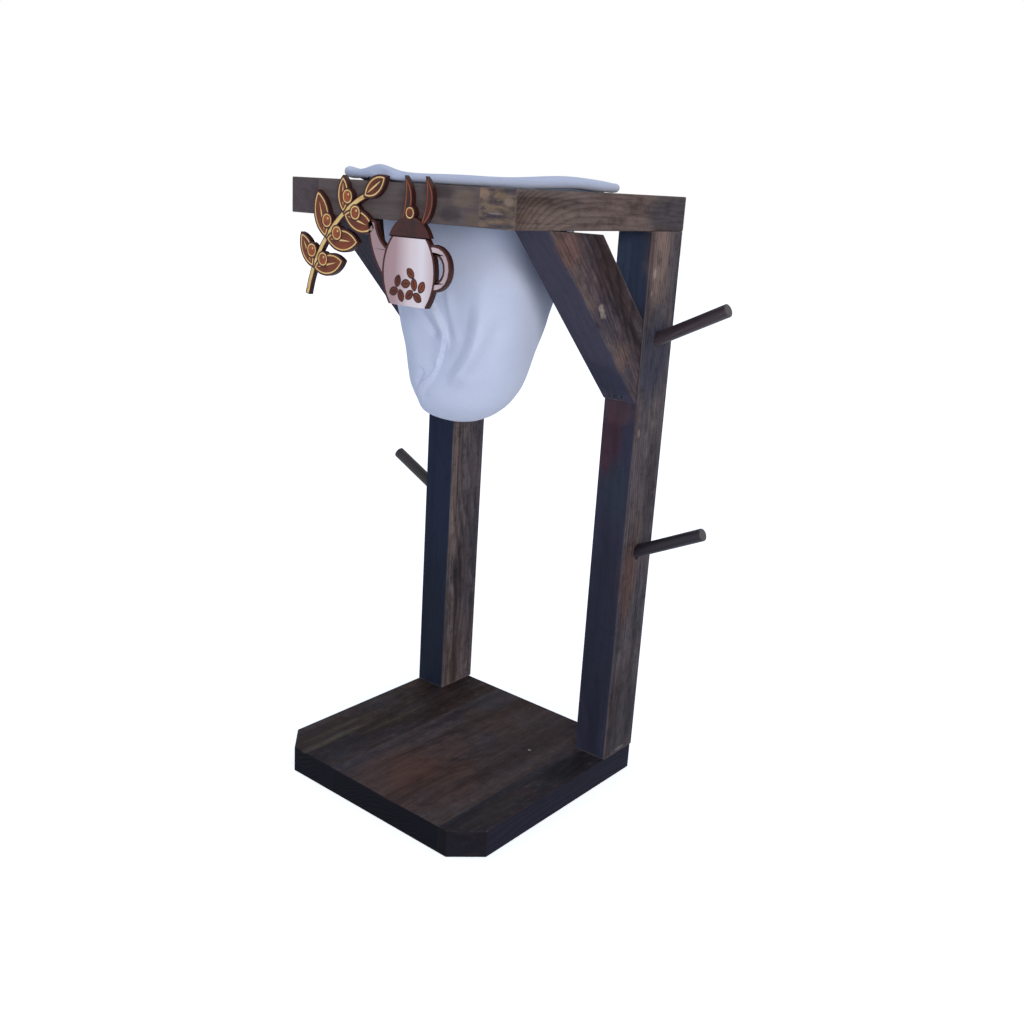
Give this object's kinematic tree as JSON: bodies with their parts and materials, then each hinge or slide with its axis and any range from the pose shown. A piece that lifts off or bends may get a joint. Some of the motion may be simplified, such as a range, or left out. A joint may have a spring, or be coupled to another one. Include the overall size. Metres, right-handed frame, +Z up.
{
  "type": "pour over dripper stand",
  "caption": "Dark stained wooden stand that holds a cloth coffee filter on a wire hoop over a pot, with sloping side pegs for cups and a cut-out plaque on its front.",
  "frame": {"origin": "middle of the base's underside, on the surface that the stand rests on", "axes": "+Z up along the posts, -Y towards the open front with the plaque, +X to the right seen from the front"},
  "size_m": [0.2782, 0.1822, 0.4047],
  "materials": {
    "stained_pine": "dark walnut stain, satin",
    "stained_dowel": "dark stained hardwood dowel",
    "raw_beech": "plain, glued",
    "plated_steel": "zinc plated",
    "cotton_flannel": "white brushed cotton",
    "printed_board": "printed thin board, satin"
  },
  "bodies": {
    "root": {"base_board_left": "stained_pine", "base_board_middle": "stained_pine", "base_board_right": "stained_pine", "post_left": "stained_pine", "post_right": "stained_pine", "arm_left": "stained_pine", "arm_right": "stained_pine", "front_rail": "stained_pine", "back_rail": "stained_pine", "brace_left": "stained_pine", "brace_right": "stained_pine", "peg_left_upper": "stained_dowel", "peg_left_lower": "stained_dowel", "peg_right_upper": "stained_dowel", "peg_right_lower": "stained_dowel", "front_rail_dowels": "raw_beech", "back_rail_dowels": "raw_beech", "base_screws": "plated_steel", "arm_screws": "plated_steel", "brace_screws": "plated_steel", "brace_nails": "plated_steel", "filter_hoop": "plated_steel", "filter_bag": "cotton_flannel", "plaque": "printed_board"}
  },
  "joints": []
}
